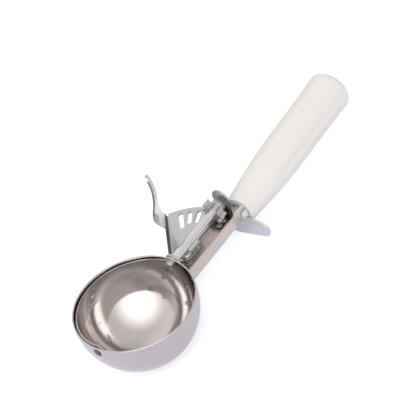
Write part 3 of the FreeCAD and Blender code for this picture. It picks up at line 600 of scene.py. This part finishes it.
class SCOOP_OT_lever(bpy.types.Operator):
    """Rounds the thumb lever's edges, lays painted shade on its bent edge and remakes its return spring as
    one piece
    """

    bl_idname = "scoop.lever"
    bl_label = "Thumb lever"

    def execute(self, context):
        edge = sizes().sheet_edge
        steel = lever_steel()
        sheet = softened("thumb_lever", "thumb_lever_sheet", steel, "lever", "pressed_steel", edge)
        # Painted shade: the bent edge's inner faces get a near-black steel.
        refinished(sheet, plain_steel("dull_bend", finishes().bend), in_bend)
        wound_spring()
        return {"FINISHED"}


class SCOOP_OT_shank(bpy.types.Operator):
    """Rounds the shank, collar, finger guard and ferrule, and finishes the shank and the guard"""

    bl_idname = "scoop.shank"
    bl_label = "Shank and guard"

    def execute(self, context):
        steel = packed_finish("pressed_steel")
        plating = guard_plating()
        edge = sizes().sheet_edge
        base = finishes().shank
        drawn = brushed_steel("drawn_shank", base, (0, 0, 0), rough=(0.12, 0.22), grain=900, strength=0.08)
        shank = softened("shank_channel", "shank_pressing", drawn, "shank", "pressed_steel", edge * 0.8)
        # Painted light: the channel's inner faces get a pale, less metallic steel.
        refinished(shank, channel_steel(), in_channel)
        softened("shank_collar", "collar_band", steel, "shank", "pressed_steel", edge)
        # The guard's plating carries painted shade on its wing under the first finger.
        softened("finger_guard", "finger_guard_plate", plating, "shank", "pressed_steel", edge * 1.6)
        softened("handle_ferrule", "ferrule_ring", steel, "shank", "pressed_steel", edge)
        return {"FINISHED"}


class SCOOP_OT_grip(bpy.types.Operator):
    """Finishes the ivory grip"""

    bl_idname = "scoop.grip"
    bl_label = "Grip"

    def execute(self, context):
        finish_node("handle_grip", ivory_plastic())
        return {"FINISHED"}


def floor_material():
    """Pale floor that the camera sees as white, with the scoop's shadow kept."""
    tint = studio().floor_tint
    material, tree, shader, place = new_material("pale_floor", tint, 0.0, 0.9)
    mottle = tree.add("ShaderNodeTexNoise", {"Vector": place, "Scale": 40.0, "Detail": 2.0}).outputs[0]
    tinted(tree, shader, tint, 0.01, mottle)
    ray = tree.add("ShaderNodeLightPath")
    seen = tree.maths("MAXIMUM", ray.outputs["Is Camera Ray"], ray.outputs["Is Transmission Ray"])
    lift = tree.maths("MULTIPLY", seen, studio().floor_glow)
    mirrored = tree.maths("MULTIPLY", ray.outputs["Is Glossy Ray"], studio().floor_glow * MIRRORED_GLOW)
    glow = tree.add("ShaderNodeEmission", {"Strength": tree.maths("ADD", lift, mirrored)})
    total = tree.add("ShaderNodeAddShader", {0: shader.outputs[0], 1: glow.outputs[0]})
    tree.links.new(total.outputs[0], tree.nodes["Material Output"].inputs["Surface"])
    return material


def make_floor(low):
    bm = bmesh.new()
    bmesh.ops.create_grid(bm, x_segments=8, y_segments=8, size=studio().floor_size / 2)
    bmesh.ops.translate(bm, verts=bm.verts, vec=(0, 0, low))
    mesh = bpy.data.meshes.new("floor")
    bm.to_mesh(mesh)
    bm.free()
    mesh.materials.append(floor_material())
    floor = bpy.data.objects.new("floor", mesh)
    bpy.context.scene.collection.objects.link(floor)


def make_lamp(name, place, aim, size, power):
    data = bpy.data.lights.new(name, "AREA")
    data.shape = "RECTANGLE"
    data.size, data.size_y = size
    data.energy = power
    lamp = bpy.data.objects.new(name, data)
    lamp.visible_glossy = False
    lamp.location = place
    lamp.rotation_mode = "QUATERNION"
    lamp.rotation_quaternion = (aim - place).to_track_quat("-Z", "Y")
    bpy.context.scene.collection.objects.link(lamp)


def make_sky():
    """White behind the scoop, and round it a tent whose tones and hangings stand at the top of the file."""
    world = bpy.data.worlds.new("tent")
    bpy.context.scene.world = world
    tree = Tree(world)
    background = tree.nodes["Background"]
    way = tree.add("ShaderNodeTexCoord").outputs["Generated"]
    split = tree.add("ShaderNodeSeparateXYZ", {"Vector": way})
    low, high = TENT[0][0], TENT[-1][0]
    height = tree.spread(split.outputs["Z"], 0.0, 1.0, low, high)
    ramp = tree.add("ShaderNodeValToRGB", {"Fac": height})
    points = ramp.color_ramp.elements
    points[-1].position = 1.0
    for where, _ in TENT[1:-1]:
        points.new((where - low) / (high - low))
    for point, (_, tone) in zip(points, TENT):
        point.color = (*tone, 1)
    panel = tree.spread(tree.dot(way, SOFT_PANEL), 0.0, 1.0, *SOFT_PANEL_EDGE)
    panel = tree.maths("MULTIPLY", tree.maths("MULTIPLY", panel, panel), SOFT_PANEL_TONE)
    side = tree.spread(split.outputs["Y"], 0.0, SIDE_TONE, *SIDE_EDGE)
    gap = tree.spread(tree.dot(way, DARK_GAP), 1.0, DARK_GAP_TONE, *DARK_GAP_EDGE)
    stand = tree.spread(tree.dot(way, CAMERA_STAND), 0.0, CAMERA_STAND_DARK, *CAMERA_STAND_EDGE)
    card = tree.spread(tree.dot(way, LEFT_CARD), 0.0, LEFT_CARD_TONE, *LEFT_CARD_EDGE)
    tent = tree.add("ShaderNodeMix", {"Factor": 1.0}, data_type="RGBA", blend_type="ADD")
    tree.links.new(ramp.outputs[0], tent.inputs["A"])
    ray = tree.add("ShaderNodeLightPath")
    again = tree.spread(ray.outputs["Glossy Depth"], 0.0, 1.0, *MIRRORED_ONCE)
    extra = tree.maths("ADD", tree.maths("ADD", panel, side), tree.maths("MULTIPLY", card, again))
    tree.links.new(extra, tent.inputs["B"])
    shaded = tree.add("ShaderNodeVectorMath", {0: tent.outputs["Result"]}, operation="SCALE")
    hidden = tree.maths("SUBTRACT", 1.0, tree.maths("MULTIPLY", stand, again))
    tree.links.new(tree.maths("MULTIPLY", gap, hidden), shaded.inputs["Scale"])
    mix = tree.add("ShaderNodeMix", data_type="RGBA")
    tree.links.new(ray.outputs["Is Camera Ray"], mix.inputs["Factor"])
    tree.links.new(shaded.outputs[0], mix.inputs["A"])
    mix.inputs["B"].default_value = (1, 1, 1, 1)
    tree.links.new(mix.outputs["Result"], background.inputs["Color"])
    level = tree.spread(ray.outputs["Is Diffuse Ray"], 1.0, studio().sky)
    tree.links.new(level, background.inputs["Strength"])


def make_camera():
    data = bpy.data.cameras.new("camera")
    data.lens = studio().lens
    data.sensor_width = 36.0
    data.clip_start, data.clip_end = 0.05, 20.0
    camera = bpy.data.objects.new("camera", data)
    turn = Vector(studio().camera_turn)
    camera.rotation_mode = "QUATERNION"
    camera.rotation_quaternion = Quaternion(turn.normalized(), turn.length).inverted()
    camera.location = studio().camera_place
    bpy.context.scene.collection.objects.link(camera)
    bpy.context.scene.camera = camera


class SCOOP_OT_studio(bpy.types.Operator):
    """Lays the pale floor and sets the lamps, the sky and the camera"""

    bl_idname = "scoop.studio"
    bl_label = "Studio"

    def execute(self, context):
        low, high = CAD_BOX
        middle = (low + high) / 2
        make_floor(low.z)
        make_lamp("key", middle + KEY_FROM_MIDDLE, middle, KEY_SIZE, studio().key_power)
        make_lamp("fill", middle + FILL_FROM_MIDDLE, middle, FILL_SIZE, studio().fill_power)
        make_sky()
        make_camera()
        context.scene.view_settings.view_transform = "Standard"
        return {"FINISHED"}


OPERATORS = (
    SCOOP_OT_bowl, SCOOP_OT_scraper, SCOOP_OT_drive, SCOOP_OT_lever, SCOOP_OT_shank, SCOOP_OT_grip,
    SCOOP_OT_studio,
)
GROUPS = (ScoopFinishes, ScoopSizes, ScoopStudio)


class SCOOP_PT_panel(bpy.types.Panel):
    """Lists the scoop's settings and steps"""

    bl_idname = "SCOOP_PT_panel"
    bl_label = "Ice cream scoop"
    bl_space_type = "VIEW_3D"
    bl_region_type = "UI"
    bl_category = "Scoop"

    def draw(self, context):
        for group in (finishes(), sizes(), studio()):
            column = self.layout.box().column()
            for name in group.__annotations__:
                column.prop(group, name)
        for step in OPERATORS:
            self.layout.operator(step.bl_idname)


def register():
    for kind in (*GROUPS, *OPERATORS, SCOOP_PT_panel):
        bpy.utils.register_class(kind)
    bpy.types.Scene.scoop_finishes = PointerProperty(type=ScoopFinishes)
    bpy.types.Scene.scoop_sizes = PointerProperty(type=ScoopSizes)
    bpy.types.Scene.scoop_studio = PointerProperty(type=ScoopStudio)


def unregister():
    del bpy.types.Scene.scoop_studio, bpy.types.Scene.scoop_sizes, bpy.types.Scene.scoop_finishes
    for kind in (SCOOP_PT_panel, *reversed(OPERATORS), *reversed(GROUPS)):
        bpy.utils.unregister_class(kind)


def main():
    register()
    bpy.ops.scoop.bowl()
    bpy.ops.scoop.scraper()
    bpy.ops.scoop.drive()
    bpy.ops.scoop.lever()
    bpy.ops.scoop.shank()
    bpy.ops.scoop.grip()
    bpy.ops.scoop.studio()


if __name__ == "__main__":
    main()
